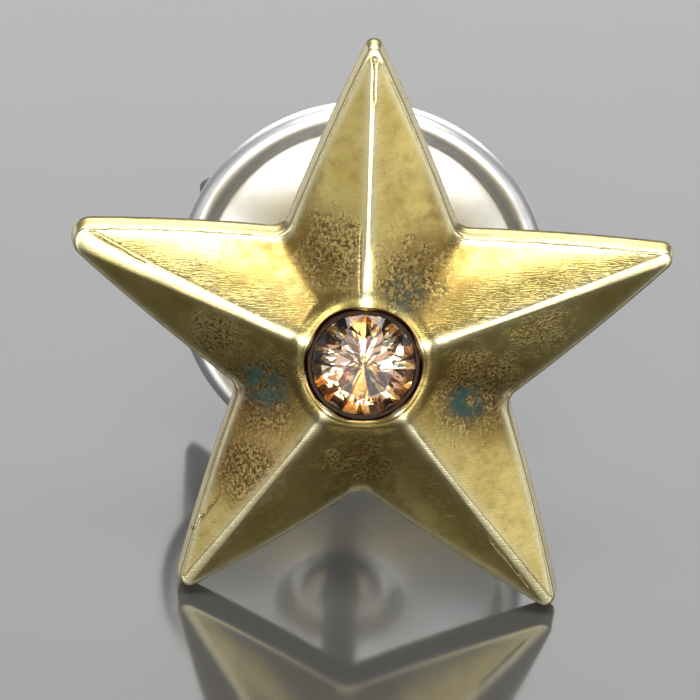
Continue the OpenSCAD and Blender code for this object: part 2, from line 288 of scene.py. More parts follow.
    def finish(self, colour, metallic, roughness, normal, **constants):
        """Wires the shader, with any constants on its own sockets, and hands over the material."""
        self.link(colour, self.shader.inputs["Base Color"])
        self.link(metallic, self.shader.inputs["Metallic"])
        self.link(roughness, self.shader.inputs["Roughness"])
        self.link(normal, self.shader.inputs["Normal"])
        for name, value in constants.items():
            self.shader.inputs[name.replace("_", " ")].default_value = value
        return self.material


# Casting cracks on the face, in the star's own frame: start, end, width
CRACKS = [
    ((0.07, 8.86), (0.08, 7.6), 0.035),
    ((3.96, -5.58), (5.24, -7.24), 0.03),
    ((-8.06, 3.35), (-6.5, 2.6), 0.03),
    ((-0.19, 3.9), (-0.16, 2.1), 0.025),
    ((-5.3, -6.2), (-4.2, -4.6), 0.025),
]
TIP_PIT = (0.07, 8.86, 0.13)        # a small pit by the top tip: x, y, radius


def cast_brass():
    """Old polished brass: olive-gold, brown where it isn't rubbed, with spots of verdigris."""
    g = Graph("cast_brass")
    valley = g.attribute("valley")
    rubbed = g.attribute("rubbed")
    height = g.vector("DOT_PRODUCT", g.mm, (0.0, 0.0, 1.0))
    on_face = g.span(height, 0.3, 0.7)
    cloud = g.noise(0.55, detail=3)
    mottle = g.noise(2.3, detail=7, roughness=0.62)
    speck = g.noise(10.0, detail=6, roughness=0.7)

    colour = g.mix(g.span(cloud, 0.35, 0.65), (0.62, 0.485, 0.15), (0.74, 0.595, 0.22))

    # Brown tint in patches, and a darker film where polishing cloths don't reach, in the
    # valleys; and the colour darkens smoothly close round the stone
    film = g.times(valley, g.span(mottle, 0.3, 0.62, 0.45, 1.0))
    colour = g.mix(g.span(mottle, 0.45, 0.75, 0.0, 0.45), colour, (0.34, 0.22, 0.06))
    colour = g.mix(g.times(film, 0.85), colour, (0.24, 0.14, 0.03))
    # Colour darkens smoothly close round the stone, over the lip's inner edge
    from_middle = g.vector("LENGTH", g.flat())
    darker_near_stone = g.span(from_middle, LIP_R, LIP_R - 0.14, 0.0, 0.9)
    colour = g.mix(darker_near_stone, colour, (0.16, 0.06, 0.02))

    # Copper tint down the lower left leg
    copper = g.spot(-3.3, -2.9, 2.3, ragged=2.0, grain=mottle)
    colour = g.mix(g.times(copper, 0.4), colour, (0.62, 0.33, 0.12))

    # Brown oxide, mottled
    patches = g.any_of(
        g.spot(-0.9, 3.2, 1.6, 2.4, mottle),
        g.spot(1.25, 2.5, 1.6, 2.4, mottle),
        g.spot(-3.1, -1.1, 2.0, 2.6, mottle),
        g.spot(3.5, -1.0, 2.0, 2.6, mottle),
        g.spot(-4.4, 0.5, 1.2, 2.6, mottle),
        g.spot(-3.4, -3.6, 1.5, 1.8, mottle),
        g.times(g.spot(5.3, 0.9, 1.2, 3.0, mottle), 0.7),
        g.spot(0.0, -3.2, 1.3, 2.6, mottle),
    )
    oxide = g.times(patches, g.span(speck, 0.42, 0.56))
    oxide = g.times(oxide, g.span(rubbed, 0.7, 0.1))
    oxide = g.times(oxide, on_face)
    colour = g.mix(g.times(oxide, 0.92), colour, (0.085, 0.045, 0.016))

    # Verdigris
    verdigris = g.any_of(
        g.spot(-2.95, -1.0, 1.0, 1.5, speck),
        g.spot(3.15, -1.25, 0.9, 1.5, speck),
        g.times(g.spot(1.15, 2.1, 0.9, 1.2, speck), 0.6),
    )
    verdigris = g.times(verdigris, g.span(mottle, 0.36, 0.56))
    verdigris = g.times(verdigris, on_face)
    colour = g.mix(g.times(verdigris, 0.95), colour, (0.02, 0.072, 0.064))
    dark_blobs = g.any_of(
        g.spot(4.2, -1.05, 0.35, 0.7, speck),
        g.spot(-3.25, -1.35, 0.22, 0.5, speck),
        g.spot(-2.6, -0.8, 0.18, 0.4, speck),
    )
    colour = g.mix(g.times(dark_blobs, 0.8), colour, (0.06, 0.045, 0.025))

    # Rubbed bright on the ridges and edges
    bright = g.times(rubbed, g.span(mottle, 0.25, 0.6, 0.5, 1.0))
    colour = g.mix(g.times(bright, 0.85), colour, (0.92, 0.84, 0.52))

    # Broken cracks, and the pit
    cracks = g.any_of(*[g.line(start, end, width) for start, end, width in CRACKS])
    pit = g.spot(*TIP_PIT, ragged=0.1, grain=speck)
    cracks = g.any_of(g.times(cracks, g.span(speck, 0.38, 0.5)), pit)
    cracks = g.times(cracks, on_face)
    colour = g.mix(g.times(cracks, 0.7), colour, (0.13, 0.06, 0.02))

    # Oxide keeps most of the metal's shine, and crust loses it
    crust = g.any_of(verdigris, dark_blobs)
    dull = g.any_of(oxide, crust)
    metallic = g.math(
        "MINIMUM",
        g.span(oxide, 0.0, 1.0, 1.0, 0.8),
        g.span(crust, 0.0, 1.0, 1.0, 0.35),
    )
    smooth = g.span(mottle, 0.3, 0.7, 0.14, 0.22)
    roughness = g.math("ADD", smooth, g.times(film, 0.12))
    roughness = g.math("ADD", roughness, g.times(oxide, 0.08))
    roughness = g.math("ADD", roughness, g.times(crust, 0.35), clamp=True)

    # Two sets of brush marks that cross, cast grain, and the oxide's crust
    brush = g.math(
        "ADD",
        g.noise(3.0, detail=3, stretch=(1.0, 14.0, 1.0), turn=0.6),
        g.noise(3.0, detail=3, stretch=(1.0, 14.0, 1.0), turn=-0.7),
    )
    normal = g.bump(brush, 0.006, 0.6)
    normal = g.bump(speck, 0.004, 0.7, normal)
    relief = g.math("SUBTRACT", dull, g.times(cracks, 5.0))
    normal = g.bump(relief, 0.01, 0.6, normal)
    return g.finish(colour, metallic, roughness, normal)


def polished_nickel(name, base, rough):
    """Bright plating with hairlines, a film of finger grease and worn places."""
    g = Graph(name, CLUTCH)
    smear = g.noise(0.7, detail=4, roughness=0.6)
    fleck = g.noise(5.0, detail=5, roughness=0.6)
    worn = tuple(0.86 * part for part in base)
    warm = (base[0] * 0.95, base[1] * 0.88, base[2] * 0.74)
    colour = g.mix(g.span(smear, 0.35, 0.7), base, worn)
    colour = g.mix(g.span(fleck, 0.62, 0.75, 0.0, 0.6), colour, warm)
    roughness = g.math(
        "ADD",
        g.span(smear, 0.3, 0.7, rough, rough + 0.10),
        g.span(fleck, 0.6, 0.8, 0.0, 0.15),
    )
    hairlines = g.noise(4.0, detail=4, stretch=(1.0, 1.0, 9.0), turn=0.5)
    normal = g.bump(hairlines, 0.003, 0.5)
    normal = g.bump(smear, 0.02, 0.25, normal)
    return g.finish(colour, 1.0, roughness, normal)


def soldered():
    """Dull silver solder with a rippled skin and brown flux stains."""
    g = Graph("solder")
    ripple = g.noise(3.5, detail=5, roughness=0.6)
    stain = g.noise(1.4, detail=5, roughness=0.65)
    colour = g.mix(g.span(ripple, 0.3, 0.7), (0.56, 0.55, 0.52), (0.42, 0.41, 0.38))
    colour = g.mix(g.span(stain, 0.55, 0.72, 0.0, 0.8), colour, (0.20, 0.13, 0.06))
    roughness = g.span(ripple, 0.3, 0.7, 0.34, 0.58)
    return g.finish(colour, 0.9, roughness, g.bump(ripple, 0.05, 0.8))


def old_cement():
    """Dark brown cement and grime packed round the stone."""
    g = Graph("dark_cement")
    lumps = g.noise(6.0, detail=6, roughness=0.7)
    colour = g.mix(g.span(lumps, 0.35, 0.65), (0.022, 0.009, 0.004), (0.075, 0.032, 0.013))
    roughness = g.span(lumps, 0.3, 0.7, 0.45, 0.8)
    return g.finish(colour, 0.0, roughness, g.bump(lumps, 0.05, 1.0))


def champagne_glass():
    """Champagne glass: cream facets, painted dark reflections in brown wedges round the culet, amber at the lower
    left.
    """
    g = Graph("champagne_glass")
    wear = g.noise(5.0, detail=5, roughness=0.6)
    outward = g.vector("NORMALIZE", g.flat())
    spokes = g.vector("ADD", outward, g.vector("MULTIPLY", g.flat(), (0.25, 0.25, 0.25)))
    dark_reflection_wedge = g.noise(2.3, detail=1, where=spokes)
    colour = g.mix(g.spot(-0.95, -0.95, 1.1), (1.0, 0.94, 0.68), (1.0, 0.60, 0.22))
    # Painted dark reflections: the glass's colour goes dark brown in wedges
    colour = g.mix(g.span(dark_reflection_wedge, 0.52, 0.532), colour, (0.05, 0.02, 0.01))
    roughness = g.span(wear, 0.55, 0.8, 0.0, 0.12)
    normal = g.bump(wear, 0.001, 0.2)
    return g.finish(colour, 0.0, roughness, normal, Transmission_Weight=1.0, IOR=1.54)


def gold_foil():
    """Gold foil behind the stone, black in wedges that are painted dark reflections."""
    g = Graph("gold_foil")
    crease = g.noise(2.6, detail=4, roughness=0.6)
    dark_reflection_wedge = g.noise(2.4, detail=1, where=g.vector("NORMALIZE", g.flat()))
    colour = g.mix(g.span(crease, 0.35, 0.65), (0.96, 0.76, 0.46), (0.86, 0.58, 0.26))
    colour = g.mix(g.spot(-0.9, -0.9, 1.2), colour, (0.80, 0.40, 0.10))
    # Painted dark reflections: black wedges over the foil's colour
    colour = g.mix(g.span(dark_reflection_wedge, 0.49, 0.52, 0.0, 0.95), colour, (0.05, 0.02, 0.008))
    roughness = g.span(crease, 0.3, 0.7, 0.10, 0.30)
    return g.finish(colour, 1.0, roughness, g.bump(crease, 0.01, 0.4))


def studio_floor():
    """A glossy grey board, which looks pale where it mirrors the light behind the pin."""
    g = Graph("studio_floor")
    grain = g.noise(0.05, detail=4)
    colour = g.mix(g.span(grain, 0.3, 0.7), (0.074, 0.074, 0.073), (0.084, 0.084, 0.083))
    roughness = g.span(grain, 0.3, 0.7, 0.07, 0.10)
    return g.finish(colour, 0.0, roughness, g.bump(grain, 0.01, 0.1), IOR=1.6)


MATERIALS = {
    "cast_brass": cast_brass(),
    "champagne_glass": champagne_glass(),
    "gold_foil": gold_foil(),
    "dark_cement": old_cement(),
    "nickel_plate": polished_nickel("nickel_plate", (0.70, 0.69, 0.66), 0.24),
    "polished_nickel": polished_nickel("polished_nickel", (0.96, 0.96, 0.95), 0.31),
    "spring_nickel": polished_nickel("spring_nickel", (0.74, 0.73, 0.70), 0.20),
    "solder": soldered(),
}

# ---- Mesh helpers ---------------------------------------------------------------

body_of_node = {
    node: body
    for body, members in frame["record"]["behaviour"]["bodies"].items()
    for node in members
}
slot_of_node = {part["node"]: part["material_slot"] for part in frame["record"]["subparts"]}


def add_piece(node, mesh, matrix, crease=35.0):
    """Puts a mesh in the scene in place of a CAD node, on its body and with its finish."""
    mesh.transform(matrix)
    obj = bpy.data.objects.new(node + "_form", mesh)
    bpy.context.scene.collection.objects.link(obj)
    mesh.shade_smooth()
    mesh.set_sharp_from_angle(angle=math.radians(crease))
    slot = slot_of_node[node]
    mesh.materials.clear()
    mesh.materials.append(MATERIALS[slot])
    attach(obj, body_of_node[node])
    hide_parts(node)


def mesh_of(name, points, faces):
    """A mesh from points in millimetres, with its faces turned outward."""
    mesh = bpy.data.meshes.new(name)
    mesh.from_pydata((np.asarray(points) * MM).tolist(), [], faces)
    work = bmesh.new()
    work.from_mesh(mesh)
    bmesh.ops.recalc_face_normals(work, faces=work.faces)
    work.to_mesh(mesh)
    work.free()
    return mesh


def skin(rings, closed=False):
    """Points and quads over equal rings. Unless closed on itself, each end gets a centre."""
    size = len(rings[0])
    points = np.concatenate(rings).tolist()
    faces = []
    last = len(rings) - 1
    for row in range(len(rings) if closed else last):
        below = row * size
        above = (row + 1) % len(rings) * size
        for i in range(size):
            j = (i + 1) % size
            faces.append((below + i, below + j, above + j, above + i))
    if not closed:
        for row in (0, last):
            points.append(np.mean(rings[row], axis=0).tolist())
            centre = len(points) - 1
            start = row * size
            faces += [(start + i, start + (i + 1) % size, centre) for i in range(size)]
    return points, faces


def eased(profile, radius, steps=3):
    """A closed [r, z] profile with each corner off the axis rounded."""
    corners = [np.array(p, float) for p in profile]
    result = []
    for i, corner in enumerate(corners):
        before = corners[i - 1] - corner
        after = corners[(i + 1) % len(corners)] - corner
        reach = min(radius, 0.4 * np.linalg.norm(before), 0.4 * np.linalg.norm(after))
        bend = np.dot(before, after) / (np.linalg.norm(before) * np.linalg.norm(after))
        nearly_straight = bend < -0.97
        if corner[0] < ON_AXIS or nearly_straight:
            result.append(corner)
            continue
        start = corner + before / np.linalg.norm(before) * reach
        end = corner + after / np.linalg.norm(after) * reach
        for k in range(steps + 1):
            t = k / steps
            result.append(start * (1 - t) ** 2 + corner * 2 * t * (1 - t) + end * t * t)
    return result


def turned(name, profile, ease=0.04, segments=160):
    """A mesh turned round Z from a closed [r, z] profile, which may start and end on the axis."""
    angles = np.linspace(0, 2 * np.pi, segments, endpoint=False)
    rounded = eased(profile, ease)
    rings = [
        np.stack([r * np.cos(angles), r * np.sin(angles), np.full(segments, z)], axis=1)
        for r, z in rounded if r >= ON_AXIS
    ]
    points, faces = skin(rings, closed=len(rings) == len(rounded))
    return mesh_of(name, points, faces)


def with_modifiers(mesh, add_modifiers):
    """The mesh with modifiers applied to it."""
    obj = bpy.data.objects.new("work", mesh)
    bpy.context.scene.collection.objects.link(obj)
    add_modifiers(obj)
    depsgraph = bpy.context.evaluated_depsgraph_get()
    result = bpy.data.meshes.new_from_object(obj.evaluated_get(depsgraph))
    bpy.data.objects.remove(obj)
    return result


def round_edges(obj, width, angle):
    """Bevels the edges that bend by more than that angle, in degrees."""
    bevel = obj.modifiers.new("edges", "BEVEL")
    bevel.width = width * MM
    bevel.segments = 2
    bevel.limit_method = "ANGLE"
    bevel.angle_limit = math.radians(angle)


def softened(node, matrix, width):
    """A CAD node's own mesh, with its sharp edges rounded."""
    source = frame["nodes"][node].data.copy()
    source.transform(matrix.inverted())
    work = bmesh.new()
    work.from_mesh(source)
    bmesh.ops.remove_doubles(work, verts=work.verts, dist=1e-4 * MM)
    bmesh.ops.dissolve_limit(
        work, angle_limit=math.radians(1.0), verts=work.verts, edges=work.edges
    )
    work.to_mesh(source)
    work.free()
    return with_modifiers(source, lambda obj: round_edges(obj, width, 32))


# ---- Star -----------------------------------------------------------------------


def back_corners():
    """The outline of the CAD star's flat back, in order round it."""
    points = local_points("star_body", STAR)
    on_back = abs(points[:, 2]) < 1e-3
    outside_pad = np.hypot(*points[:, :2].T) > PAD_R + 0.5
    ring = np.unique(points[on_back & outside_pad, :2].round(4), axis=0)
    return ring[np.argsort(np.arctan2(ring[:, 1], ring[:, 0]))]


def resampled(ring, spacing):
    """A closed curve through the ring's points, with each stretch cut to about spacing."""
    size = len(ring)
    result = []
    for i in range(size):
        a, b, c, d = (ring[(i + k) % size] for k in (-1, 0, 1, 2))
        length = np.linalg.norm(c - b)
        # tangents that don't overshoot where a long edge meets a tight corner
        into = (c - a) / np.linalg.norm(c - a) * length
        out = (d - b) / np.linalg.norm(d - b) * length
        count = max(3, round(length / spacing))
        for t in np.arange(count) / count:
            result.append(
                b * (2 * t**3 - 3 * t**2 + 1) + into * (t**3 - 2 * t**2 + t)
                + c * (3 * t**2 - 2 * t**3) + out * (t**3 - t**2)
            )
    return np.array(result)


def inset(ring, distance):
    """The closed curve moved inward by that distance."""
    ahead = np.roll(ring, -1, axis=0) - np.roll(ring, 1, axis=0)
    ahead /= np.linalg.norm(ahead, axis=1)[:, None]
    return ring + np.stack([-ahead[:, 1], ahead[:, 0]], axis=1) * distance


outline = resampled(back_corners(), 0.09)
foot = inset(outline, WALL_DRAFT + EDGE_ROUND)
foot_r = np.hypot(*foot.T)
toward = foot / foot_r[:, None]      # unit directions from the centre, one to each point


def extremes(values, sign):
    """Directions in which a value given round the outline peaks, or dips for sign -1."""
    size = len(values)
    reach = size // 14      # less than from a tip to the next notch
    found = []
    for i in range(size):
        near = values[np.arange(i - reach, i + reach + 1) % size]
        if np.all(sign * values[i] >= sign * near):
            found.append(i)
    return toward[found]


tip_rays = extremes(foot_r, 1)
notch_rays = extremes(foot_r, -1)


def ray_distance(points, rays):
    """Distance in the face's plane from each point to the nearest ray from the centre."""
    best = np.full(len(points), np.inf)
    for ray in rays:
        along = np.maximum(points @ ray, 0)
        best = np.minimum(best, np.linalg.norm(points - along[:, None] * ray, axis=1))
    return best


def smoothed_along(ring, z, width):
    """z averaged along the ring with a bell of that width, which may vary by point."""
    total = np.zeros(len(z))
    weight = np.zeros(len(z))
    reach = 70      # points to each side
    for shift in range(-reach, reach + 1):
        other = np.roll(ring, shift, axis=0)
        step = np.linalg.norm(other - np.roll(ring, shift + 1, axis=0), axis=1)
        share = np.exp(-((other - ring) ** 2).sum(axis=1) / (2 * width**2)) * step
        total += share * np.roll(z, shift)
        weight += share
    return total / weight


def segment_distance(points, start, end):
    """Distance in the face's plane from each point to a segment."""
    start = np.array(start)
    span = np.array(end) - start
    t = np.clip((points - start) @ span / (span @ span), 0, 1)
    return np.linalg.norm(points - start - t[:, None] * span, axis=1)


def bell(distance, width):
    """1 at no distance, falling to 1/e at that width."""
    return np.exp(-((distance / width) ** 2))


def hand_finish(points):
    """Low swells that polishing by hand leaves, in millimetres."""
    swell = [
        0.030 * noise.noise(Vector((x * 0.42, y * 0.42, 3.1)))
        + 0.010 * noise.noise(Vector((x * 1.3, y * 1.3, 7.7)))
        for x, y in points
    ]
    return np.array(swell)


def face_ring(r):
    """A ring of the face at that radius in each direction, without the lip."""
    points = toward * r[:, None]
    from_ridge = ray_distance(points, tip_rays)
    inward = foot_r - r

    # Flat facets, rounded at the ridges and filled in the valleys, but not at the wall
    z = WALL_H + (APEX_H - WALL_H) * (1 - r / foot_r)
    soft = VALLEY_SOFT + (RIDGE_SOFT - VALLEY_SOFT) * bell(from_ridge, RIDGE_REACH)
    settle = 1 - np.exp(-inward / SETTLE_REACH)
    z = smoothed_along(points, z, soft) * settle + z * (1 - settle)

    # Facets that swell between the ridge and the edge, and what polishing leaves
    bulge = (1 - np.exp(-inward / SWELL_REACH)) * (1 - bell(from_ridge, CROWNING_REACH))
    z += CROWNING * bulge + hand_finish(points) * settle

    for start, end, width in CRACKS:
        z -= CRACK_DEPTH * bell(segment_distance(points, start, end), 1.6 * width)
    *pit, pit_r = TIP_PIT
    z -= PIT_DEPTH * bell(np.linalg.norm(points - pit, axis=1), pit_r)
    return points, z


LIP_FOOT_DROP = 0.03        # from the lip's crest down to its outer foot
# The lip's rounded edge, from its foot in to the seat: radius, and depth below the crest
LIP_SECTION = [
    (1.83, 0.012), (1.79, 0.008), (1.75, 0.022), (1.71, 0.050), (1.68, 0.085), (SEAT_R, 0.12)
]


def level(points, z):
    """Points of the plane, all at that height."""
    return np.column_stack([points, np.full(len(points), z)])


def back_and_wall_rings():
    """From the middle of the recess for the pad, out over the back and up the wall."""
    recess_r = PAD_R + SOLDER_W
    rings = [
        level(toward, PAD_RECESS),
        level(toward * recess_r, PAD_RECESS),
        level(toward * recess_r, 0.0),
        level(inset(outline, BACK_ROUND), 0.0),
        level(inset(outline, 0.3 * BACK_ROUND), 0.3 * BACK_ROUND),
    ]
    wall_top = WALL_H - EDGE_ROUND
    for t in (0.06, 0.3, 0.55, 0.8, 1.0):
        rings.append(level(inset(outline, WALL_DRAFT * t), wall_top * t))
    for t in (0.25, 0.5, 0.75, 1.0):
        turn = t * math.pi / 2
        side = WALL_DRAFT + EDGE_ROUND * (1 - math.cos(turn))
        rings.append(level(inset(outline, side), wall_top + EDGE_ROUND * math.sin(turn)))
    return rings


def facet_rings():
    """From the edge in to the boss, closer together near the edge."""
    rings = []
    for k in range(1, FACE_STEPS + 1):
        u = 1 - (k / FACE_STEPS) ** 1.15
        rings.append(np.column_stack(face_ring(BOSS_R + (foot_r - BOSS_R) * u)))
    return rings


def lip_and_seat_rings():
    """The boss rises to the burnished lip, which is a little uneven, and the seat falls away."""
    size = len(toward)
    rings = []
    angle = np.arctan2(toward[:, 1], toward[:, 0])
    uneven = np.array([noise.noise(Vector((2 * x, 2 * y, 0.4))) for x, y in toward])
    facets_at_lip = face_ring(np.full(size, LIP_R))[1]
    lip = facets_at_lip + (LIP_H - facets_at_lip) * LIP_LEVEL + LIP_UNEVEN * uneven
    for k in range(1, BOSS_STEPS + 1):
        t = k / BOSS_STEPS
        points, z = face_ring(np.full(size, BOSS_R + (LIP_R - BOSS_R) * t))
        rise = t * t * (3 - 2 * t)
        rings.append(np.column_stack([points, z + (lip - LIP_FOOT_DROP - z) * rise]))
    for r, drop in LIP_SECTION:
        wobble = r + LIP_UNEVEN * uneven + 0.004 * np.sin(9 * angle)
        rings.append(np.column_stack([toward * wobble[:, None], lip - drop]))
    ledge_z = GIRDLE_LOW - 0.18
    floor_z = CULET_Z - 0.26
    for r, z in ((SEAT_R, ledge_z), (SEAT_R - 0.16, ledge_z), (SEAT_FLOOR_R, floor_z)):
        rings.append(level(toward * r, z))
    return rings


def add_masks(mesh):
    """Masks for the brass: the valleys, and the ridges and edges that get rubbed."""
    points = np.array([v.co for v in mesh.vertices]) / MM
    plan, height = points[:, :2], points[:, 2]
    valley = bell(ray_distance(plan, notch_rays), 1.5)
    valley *= np.clip((np.hypot(*plan.T) - 1.7) / 0.6, 0, 1)    # fades out on the boss
    ridge = bell(ray_distance(plan, tip_rays), 0.2)
    edge = bell(height - WALL_H, 0.09)      # where the wall turns into the face
    on_face = height > 0.5 * WALL_H
    masks = {"valley": valley * on_face, "rubbed": np.maximum(ridge, edge) * on_face}
    for name, values in masks.items():
        layer = mesh.attributes.new(name, "FLOAT", "POINT")
        layer.data.foreach_set("value", values.astype(np.float32))


star = mesh_of("star_body", *skin(back_and_wall_rings() + facet_rings() + lip_and_seat_rings()))
add_masks(star)
add_piece("star_body", star, STAR, crease=50)

# ---- Stone, foil and cement -----------------------------------------------------


def spoke(r, z, step):
    """Points round the axis: step = 0 on the kites' lines, 1 half way between."""
    angles = [2 * math.pi * (k + 0.5 * step) / STONE_FOLD for k in range(STONE_FOLD)]
    return [(r * math.cos(a), r * math.sin(a), z) for a in angles]


def hull(name, points):
    """The closed convex mesh round points in millimetres."""
    mesh = bpy.data.meshes.new(name)
    work = bmesh.new()
    for p in points:
        work.verts.new(Vector(p) * MM)
    result = bmesh.ops.convex_hull(work, input=work.verts)
    left_over = result["geom_interior"] + result["geom_unused"]
    spare = {element for element in left_over if isinstance(element, bmesh.types.BMVert)}
    bmesh.ops.delete(work, geom=list(spare), context="VERTS")
    bmesh.ops.dissolve_limit(
        work, angle_limit=math.radians(0.5), verts=work.verts, edges=work.edges
    )
    bmesh.ops.recalc_face_normals(work, faces=work.faces)
    work.to_mesh(mesh)
    work.free()
    return mesh


# Each half way point lies on the plane of a kite, between the girdle and the table or culet
half_cos = math.cos(math.pi / STONE_FOLD)
star_share = (STONE_R - STAR_FACET_R * half_cos) / (STONE_R - TABLE_R)
lower_share = (STONE_R - LOWER_FACET_R * half_cos) / (STONE_R - CULET_R)
star_z = GIRDLE_Z + CROWN_H * star_share
lower_z = GIRDLE_LOW - PAVILION_H * lower_share
pavilion = (
    spoke(STONE_R, GIRDLE_LOW, 0) + spoke(STONE_R, GIRDLE_LOW, 1)
    + spoke(LOWER_FACET_R, lower_z, 1) + spoke(CULET_R, CULET_Z, 0)
)
crown = (
    spoke(STONE_R, GIRDLE_Z, 0) + spoke(STONE_R, GIRDLE_Z, 1)
    + spoke(STAR_FACET_R, star_z, 1) + spoke(TABLE_R, GIRDLE_Z + CROWN_H, 0)
)
add_piece("chaton_stone", hull("chaton_stone", crown + pavilion), STAR, crease=1)


def foil_layer(gap):
    """Points at that gap from the pavilion: culet, lower facets, rim, and rim half way."""
    rim_r = STONE_R - FOIL_SHORT + gap
    rim_z = GIRDLE_LOW - 0.5 * FOIL_SHORT
    return (
        spoke(CULET_R + gap, CULET_Z - gap, 0) + spoke(LOWER_FACET_R + gap, lower_z - gap, 1)
        + spoke(rim_r, rim_z, 0) + spoke(rim_r, rim_z, 1)
    )


def foil_mesh():
    """A faceted shell just outside the pavilion."""
    points = foil_layer(FOIL_GAP) + foil_layer(FOIL_GAP + 0.6 * FOIL_T)
    layer_size = 4 * STONE_FOLD
    faces = []
    for base, flip in ((0, 1), (layer_size, -1)):
        culet, lower, rim, rim_half = (base + row * STONE_FOLD for row in range(4))
        for k in range(STONE_FOLD):
            before = (k - 1) % STONE_FOLD
            after = (k + 1) % STONE_FOLD
            for face in (
                (culet + k, lower + k, rim + k, lower + before),
                (lower + k, rim_half + k, rim + k),
                (lower + k, rim + after, rim_half + k),
                (culet + k, culet + after, lower + k),
            ):
                faces.append(face[::flip])
        faces.append(tuple(range(base, base + STONE_FOLD))[::-flip])

    # The rim that joins the two layers
    rim, rim_half = 2 * STONE_FOLD, 3 * STONE_FOLD
    for k in range(STONE_FOLD):
        ring = (rim + k, rim_half + k, rim + (k + 1) % STONE_FOLD)
        for a, b in zip(ring, ring[1:]):
            faces.append((a, b, b + layer_size, a + layer_size))
    return mesh_of("stone_foil", points, faces)


add_piece("stone_foil", foil_mesh(), STAR, crease=1)

# Cement fills the seat up to the girdle, with a hollow that the stone and its foil lie in
cement_floor = CULET_Z - 1.4 * FOIL_T - 0.12
cement_ledge = GIRDLE_LOW - 0.19
cement_r = SEAT_R - 0.005
hollow_floor = CULET_Z - 0.1
cement_profile = [
    (0.0, cement_floor), (SEAT_FLOOR_R - 0.01, cement_floor), (SEAT_R - 0.17, cement_ledge),
    (cement_r, cement_ledge), (cement_r, GIRDLE_LOW + 0.10),
    (SEAT_R - 0.05, GIRDLE_LOW + 0.05), (STONE_R + 0.01, GIRDLE_LOW + 0.06),
    (STONE_R - 0.02, GIRDLE_LOW - 0.09), (CULET_R + 0.04, hollow_floor), (0.0, hollow_floor),
]
add_piece("stone_cement", turned("stone_cement", cement_profile, 0.02), STAR)

# ---- Post -----------------------------------------------------------------------

pad_back = PAD_RECESS - PAD_T
pad_chamfer = 0.1
pad_profile = [
    (POST_R, pad_back), (PAD_R - pad_chamfer, pad_back), (PAD_R, pad_back + pad_chamfer),
    (PAD_R, PAD_RECESS), (POST_R, PAD_RECESS),
]
add_piece("post_pad", turned("post_pad", pad_profile), STAR)

groove_r = POST_R - GROOVE_DEPTH
post_profile = [
    (0.0, PAD_RECESS), (POST_R, PAD_RECESS),
    (POST_R, -(GROOVE_Z - 0.5 * GROOVE_W)), (groove_r, -(GROOVE_Z - 0.25 * GROOVE_W)),
    (groove_r, -(GROOVE_Z + 0.25 * GROOVE_W)), (POST_R, -(GROOVE_Z + 0.5 * GROOVE_W)),
    (POST_R, POINT_LEN - POST_LEN), (POINT_R, -POST_LEN), (0.0, -POST_LEN),
]
add_piece("tack_post", turned("tack_post", post_profile, 0.06, 96), STAR)

# Solder fills the recess round the pad and climbs a little way up the pad's side
solder_r = PAD_R + SOLDER_W
solder_profile = [
    (PAD_R, PAD_RECESS), (solder_r, PAD_RECESS), (solder_r, 0.02),
    (PAD_R + 0.5 * SOLDER_W, -0.03), (PAD_R, -0.12),
]
add_piece("pad_solder", turned("pad_solder", solder_profile, 0.06), STAR)

braze_curve = [
    (POST_R + BRAZE - BRAZE * math.sin(a), pad_back - (BRAZE - BRAZE * math.cos(a)))
    for a in np.linspace(0, math.pi / 2, 9)
]
braze_profile = [(POST_R, pad_back)] + braze_curve
add_piece("shank_braze", turned("shank_braze", braze_profile, 0.01, 96), STAR)

# ---- Clutch ---------------------------------------------------------------------

# The eyelet's two flanges hold the face plate between them, with a little play
plate_back = WELL_DEPTH + SHEET_T
front_flange = WELL_DEPTH - EYELET_PLAY
back_flange = plate_back + EYELET_PLAY
eyelet_low = front_flange - EYELET_FLANGE_T
eyelet_top = back_flange + EYELET_FLANGE_T
eyelet_profile = [
    (EYELET_BORE, eyelet_low), (EYELET_FLANGE_R, eyelet_low), (EYELET_FLANGE_R, front_flange),
    (EYELET_R, front_flange), (EYELET_R, back_flange),
    (EYELET_CURL_R, back_flange), (EYELET_CURL_R, eyelet_top), (EYELET_BORE, eyelet_top),
]
add_piece("clutch_eyelet", turned("clutch_eyelet", eyelet_profile, 0.05), CLUTCH)

plate_hole_r = EYELET_R + 0.05
skirt_r = BEAD_Y - BEAD_R - 0.1     # where the dome ends, just short of the bead
bead_inside = BEAD_Y - 0.02         # where the rolled sheet's end turns back to the plate
plate_wall = 0.8 * SHEET_T
dome = [
    (CREST_R + (skirt_r - CREST_R) * t, CREST_Z + DOME_FALL * t * t)
    for t in np.linspace(0, 1, 20)
]
bead = [
    (BEAD_Y + BEAD_R * math.cos(a), BEAD_R + BEAD_R * math.sin(a))
    for a in np.radians(np.linspace(188, 450, 28))
]
bead_end = [(bead_inside, 2 * BEAD_R - SHEET_T), (bead_inside, plate_back)]
dome_inside = [(r, min(z + plate_wall, plate_back)) for r, z in reversed(dome)]
plate_profile = (
    [(plate_hole_r, WELL_DEPTH), (WELL_R, WELL_DEPTH)] + dome + bead + bead_end
    + dome_inside + [(WELL_R + plate_wall, plate_back), (plate_hole_r, plate_back)]
)
add_piece("clutch_face_plate", turned("clutch_face_plate", plate_profile, 0.12, 256), CLUTCH)

